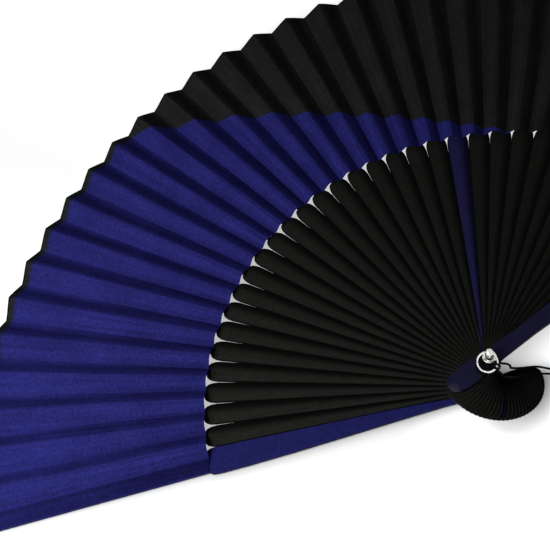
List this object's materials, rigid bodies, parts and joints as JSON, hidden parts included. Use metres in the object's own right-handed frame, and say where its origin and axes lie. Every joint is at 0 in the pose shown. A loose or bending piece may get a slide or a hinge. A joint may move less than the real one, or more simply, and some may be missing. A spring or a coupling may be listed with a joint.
{
  "type": "folding fan",
  "caption": "Folding fan spread open: pleated two-tone silk leaf on thin bamboo ribs between two lacquered guards, with a rivet, wire ring and cord loop.",
  "frame": {"origin": "on the rivet's axis, at the lower face of the rivet's head, which is the lowest point of the fan as it lies open", "axes": "+Z along the rivet from the rear guard to the front guard; the open leaf spreads evenly to both sides of +Y; +X to the side of the front guard"},
  "size_m": [0.4056, 0.2442, 0.0333],
  "materials": {
    "blue_lacquer": "satin blue lacquer on bamboo",
    "black_bamboo": "black dyed bamboo, satin",
    "blue_bamboo": "blue dyed bamboo, satin",
    "silk": "plain weave silk, indigo blue with black colour blocking",
    "polished_steel": "polished",
    "black_cord": "round braided cord"
  },
  "bodies": {
    "front_guard": {"front_guard": "blue_lacquer", "rivet_pin": "polished_steel", "rivet_collar": "polished_steel", "rivet_knob": "polished_steel", "silk_leaf": "silk", "cord_upper_strand": "black_cord", "cord_lower_strand": "black_cord", "cord_knot": "black_cord"},
    "rear_guard": {"rear_guard": "blue_lacquer"},
    "rib_01": {"rib_01": "black_bamboo"},
    "rib_02": {"rib_02": "black_bamboo"},
    "rib_03": {"rib_03": "black_bamboo"},
    "rib_04": {"rib_04": "black_bamboo"},
    "rib_05": {"rib_05": "black_bamboo"},
    "rib_06": {"rib_06": "black_bamboo"},
    "rib_07": {"rib_07": "black_bamboo"},
    "rib_08": {"rib_08": "black_bamboo"},
    "rib_09": {"rib_09": "black_bamboo"},
    "rib_10": {"rib_10": "black_bamboo"},
    "rib_11": {"rib_11": "black_bamboo"},
    "rib_12": {"rib_12": "black_bamboo"},
    "rib_13": {"rib_13": "black_bamboo"},
    "rib_14": {"rib_14": "black_bamboo"},
    "rib_15": {"rib_15": "black_bamboo"},
    "rib_16": {"rib_16": "black_bamboo"},
    "rib_17": {"rib_17": "black_bamboo"},
    "rib_18": {"rib_18": "black_bamboo"},
    "rib_19": {"rib_19": "black_bamboo"},
    "rib_20": {"rib_20": "black_bamboo"},
    "rib_21": {"rib_21": "blue_bamboo"},
    "rib_22": {"rib_22": "black_bamboo"},
    "rib_23": {"rib_23": "black_bamboo"},
    "rib_24": {"rib_24": "black_bamboo"},
    "rib_25": {"rib_25": "black_bamboo"},
    "rib_26": {"rib_26": "black_bamboo"},
    "rib_27": {"rib_27": "black_bamboo"},
    "rib_28": {"rib_28": "black_bamboo"},
    "rib_29": {"rib_29": "black_bamboo"},
    "rib_30": {"rib_30": "black_bamboo"},
    "rib_31": {"rib_31": "black_bamboo"},
    "rib_32": {"rib_32": "black_bamboo"},
    "bail": {"bail_ring": "polished_steel", "cord_hitch": "black_cord"}
  },
  "joints": [
    {"name": "rear_guard_fold", "type": "hinge", "parent": "front_guard", "child": "rear_guard", "pos_m": [0, 0, 0], "axis": [0, 0, -1], "range_deg": [0, 156.74], "deforming": ["silk_leaf"]},
    {"name": "rib_01_fold", "type": "hinge", "parent": "front_guard", "child": "rib_01", "pos_m": [0, 0, 0], "axis": [0, 0, -1], "range_deg": [0, 151.76]},
    {"name": "rib_02_fold", "type": "hinge", "parent": "front_guard", "child": "rib_02", "pos_m": [0, 0, 0], "axis": [0, 0, -1], "range_deg": [0, 146.99]},
    {"name": "rib_03_fold", "type": "hinge", "parent": "front_guard", "child": "rib_03", "pos_m": [0, 0, 0], "axis": [0, 0, -1], "range_deg": [0, 142.22]},
    {"name": "rib_04_fold", "type": "hinge", "parent": "front_guard", "child": "rib_04", "pos_m": [0, 0, 0], "axis": [0, 0, -1], "range_deg": [0, 137.45]},
    {"name": "rib_05_fold", "type": "hinge", "parent": "front_guard", "child": "rib_05", "pos_m": [0, 0, 0], "axis": [0, 0, -1], "range_deg": [0, 132.68]},
    {"name": "rib_06_fold", "type": "hinge", "parent": "front_guard", "child": "rib_06", "pos_m": [0, 0, 0], "axis": [0, 0, -1], "range_deg": [0, 127.91]},
    {"name": "rib_07_fold", "type": "hinge", "parent": "front_guard", "child": "rib_07", "pos_m": [0, 0, 0], "axis": [0, 0, -1], "range_deg": [0, 123.14]},
    {"name": "rib_08_fold", "type": "hinge", "parent": "front_guard", "child": "rib_08", "pos_m": [0, 0, 0], "axis": [0, 0, -1], "range_deg": [0, 118.37]},
    {"name": "rib_09_fold", "type": "hinge", "parent": "front_guard", "child": "rib_09", "pos_m": [0, 0, 0], "axis": [0, 0, -1], "range_deg": [0, 113.6]},
    {"name": "rib_10_fold", "type": "hinge", "parent": "front_guard", "child": "rib_10", "pos_m": [0, 0, 0], "axis": [0, 0, -1], "range_deg": [0, 108.83]},
    {"name": "rib_11_fold", "type": "hinge", "parent": "front_guard", "child": "rib_11", "pos_m": [0, 0, 0], "axis": [0, 0, -1], "range_deg": [0, 104.06]},
    {"name": "rib_12_fold", "type": "hinge", "parent": "front_guard", "child": "rib_12", "pos_m": [0, 0, 0], "axis": [0, 0, -1], "range_deg": [0, 99.29]},
    {"name": "rib_13_fold", "type": "hinge", "parent": "front_guard", "child": "rib_13", "pos_m": [0, 0, 0], "axis": [0, 0, -1], "range_deg": [0, 94.52]},
    {"name": "rib_14_fold", "type": "hinge", "parent": "front_guard", "child": "rib_14", "pos_m": [0, 0, 0], "axis": [0, 0, -1], "range_deg": [0, 89.75]},
    {"name": "rib_15_fold", "type": "hinge", "parent": "front_guard", "child": "rib_15", "pos_m": [0, 0, 0], "axis": [0, 0, -1], "range_deg": [0, 84.98]},
    {"name": "rib_16_fold", "type": "hinge", "parent": "front_guard", "child": "rib_16", "pos_m": [0, 0, 0], "axis": [0, 0, -1], "range_deg": [0, 80.21]},
    {"name": "rib_17_fold", "type": "hinge", "parent": "front_guard", "child": "rib_17", "pos_m": [0, 0, 0], "axis": [0, 0, -1], "range_deg": [0, 75.44]},
    {"name": "rib_18_fold", "type": "hinge", "parent": "front_guard", "child": "rib_18", "pos_m": [0, 0, 0], "axis": [0, 0, -1], "range_deg": [0, 70.67]},
    {"name": "rib_19_fold", "type": "hinge", "parent": "front_guard", "child": "rib_19", "pos_m": [0, 0, 0], "axis": [0, 0, -1], "range_deg": [0, 65.9]},
    {"name": "rib_20_fold", "type": "hinge", "parent": "front_guard", "child": "rib_20", "pos_m": [0, 0, 0], "axis": [0, 0, -1], "range_deg": [0, 61.13]},
    {"name": "rib_21_fold", "type": "hinge", "parent": "front_guard", "child": "rib_21", "pos_m": [0, 0, 0], "axis": [0, 0, -1], "range_deg": [0, 56.36]},
    {"name": "rib_22_fold", "type": "hinge", "parent": "front_guard", "child": "rib_22", "pos_m": [0, 0, 0], "axis": [0, 0, -1], "range_deg": [0, 51.59]},
    {"name": "rib_23_fold", "type": "hinge", "parent": "front_guard", "child": "rib_23", "pos_m": [0, 0, 0], "axis": [0, 0, -1], "range_deg": [0, 46.82]},
    {"name": "rib_24_fold", "type": "hinge", "parent": "front_guard", "child": "rib_24", "pos_m": [0, 0, 0], "axis": [0, 0, -1], "range_deg": [0, 42.05]},
    {"name": "rib_25_fold", "type": "hinge", "parent": "front_guard", "child": "rib_25", "pos_m": [0, 0, 0], "axis": [0, 0, -1], "range_deg": [0, 37.28]},
    {"name": "rib_26_fold", "type": "hinge", "parent": "front_guard", "child": "rib_26", "pos_m": [0, 0, 0], "axis": [0, 0, -1], "range_deg": [0, 32.51]},
    {"name": "rib_27_fold", "type": "hinge", "parent": "front_guard", "child": "rib_27", "pos_m": [0, 0, 0], "axis": [0, 0, -1], "range_deg": [0, 27.74]},
    {"name": "rib_28_fold", "type": "hinge", "parent": "front_guard", "child": "rib_28", "pos_m": [0, 0, 0], "axis": [0, 0, -1], "range_deg": [0, 22.97]},
    {"name": "rib_29_fold", "type": "hinge", "parent": "front_guard", "child": "rib_29", "pos_m": [0, 0, 0], "axis": [0, 0, -1], "range_deg": [0, 18.2]},
    {"name": "rib_30_fold", "type": "hinge", "parent": "front_guard", "child": "rib_30", "pos_m": [0, 0, 0], "axis": [0, 0, -1], "range_deg": [0, 13.43]},
    {"name": "rib_31_fold", "type": "hinge", "parent": "front_guard", "child": "rib_31", "pos_m": [0, 0, 0], "axis": [0, 0, -1], "range_deg": [0, 8.66]},
    {"name": "rib_32_fold", "type": "hinge", "parent": "front_guard", "child": "rib_32", "pos_m": [0, 0, 0], "axis": [0, 0, -1], "range_deg": [0, 3.89]},
    {"name": "bail_swing", "type": "hinge", "parent": "front_guard", "child": "bail", "pos_m": [0, 0, 0.0317], "axis": [-0.7314, 0.682, 0], "range_deg": [0, 118]}
  ],
  "couplings": [
    {"joint": "rib_01_fold", "follows": "rear_guard_fold", "ratio": 0.9681},
    {"joint": "rib_02_fold", "follows": "rear_guard_fold", "ratio": 0.93767},
    {"joint": "rib_03_fold", "follows": "rear_guard_fold", "ratio": 0.90724},
    {"joint": "rib_04_fold", "follows": "rear_guard_fold", "ratio": 0.8768},
    {"joint": "rib_05_fold", "follows": "rear_guard_fold", "ratio": 0.84637},
    {"joint": "rib_06_fold", "follows": "rear_guard_fold", "ratio": 0.81594},
    {"joint": "rib_07_fold", "follows": "rear_guard_fold", "ratio": 0.78551},
    {"joint": "rib_08_fold", "follows": "rear_guard_fold", "ratio": 0.75507},
    {"joint": "rib_09_fold", "follows": "rear_guard_fold", "ratio": 0.72464},
    {"joint": "rib_10_fold", "follows": "rear_guard_fold", "ratio": 0.69421},
    {"joint": "rib_11_fold", "follows": "rear_guard_fold", "ratio": 0.66377},
    {"joint": "rib_12_fold", "follows": "rear_guard_fold", "ratio": 0.63334},
    {"joint": "rib_13_fold", "follows": "rear_guard_fold", "ratio": 0.60291},
    {"joint": "rib_14_fold", "follows": "rear_guard_fold", "ratio": 0.57248},
    {"joint": "rib_15_fold", "follows": "rear_guard_fold", "ratio": 0.54204},
    {"joint": "rib_16_fold", "follows": "rear_guard_fold", "ratio": 0.51161},
    {"joint": "rib_17_fold", "follows": "rear_guard_fold", "ratio": 0.48118},
    {"joint": "rib_18_fold", "follows": "rear_guard_fold", "ratio": 0.45075},
    {"joint": "rib_19_fold", "follows": "rear_guard_fold", "ratio": 0.42031},
    {"joint": "rib_20_fold", "follows": "rear_guard_fold", "ratio": 0.38988},
    {"joint": "rib_21_fold", "follows": "rear_guard_fold", "ratio": 0.35945},
    {"joint": "rib_22_fold", "follows": "rear_guard_fold", "ratio": 0.32902},
    {"joint": "rib_23_fold", "follows": "rear_guard_fold", "ratio": 0.29858},
    {"joint": "rib_24_fold", "follows": "rear_guard_fold", "ratio": 0.26815},
    {"joint": "rib_25_fold", "follows": "rear_guard_fold", "ratio": 0.23772},
    {"joint": "rib_26_fold", "follows": "rear_guard_fold", "ratio": 0.20729},
    {"joint": "rib_27_fold", "follows": "rear_guard_fold", "ratio": 0.17685},
    {"joint": "rib_28_fold", "follows": "rear_guard_fold", "ratio": 0.14642},
    {"joint": "rib_29_fold", "follows": "rear_guard_fold", "ratio": 0.11599},
    {"joint": "rib_30_fold", "follows": "rear_guard_fold", "ratio": 0.085556},
    {"joint": "rib_31_fold", "follows": "rear_guard_fold", "ratio": 0.055123},
    {"joint": "rib_32_fold", "follows": "rear_guard_fold", "ratio": 0.024691}
  ]
}
